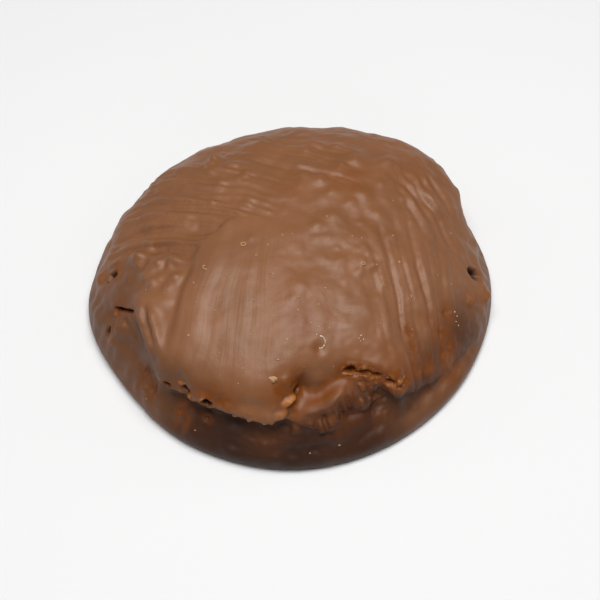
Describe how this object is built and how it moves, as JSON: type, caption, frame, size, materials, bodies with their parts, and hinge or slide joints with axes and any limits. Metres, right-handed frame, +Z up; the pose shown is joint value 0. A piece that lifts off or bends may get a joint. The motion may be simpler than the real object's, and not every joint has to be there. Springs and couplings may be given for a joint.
{
  "type": "chocolate-coated lebkuchen",
  "caption": "Round soft gingerbread biscuit with a low brushed dome of milk chocolate, a craggy overhanging edge and a wide foot where the coat has pooled; served as a sweet.",
  "frame": {"origin": "middle of the flat underside, below the centre of the outline's box", "axes": "+Z up out of the dome; the front of the biscuit, with the lobe in its crag edge, faces -Y; +X to the right seen from the front"},
  "size_m": [0.0864, 0.0848, 0.0252],
  "materials": {
    "milk_chocolate": "satin milk chocolate with brush lines",
    "nut_crumb": "dry nut and biscuit crumb, for the loose specks on the coat",
    "sugar_grain": "clear to white sugar crystal, for the few grains on the coat"
  },
  "bodies": {
    "root": {"lebkuchen": "milk_chocolate"}
  },
  "joints": []
}
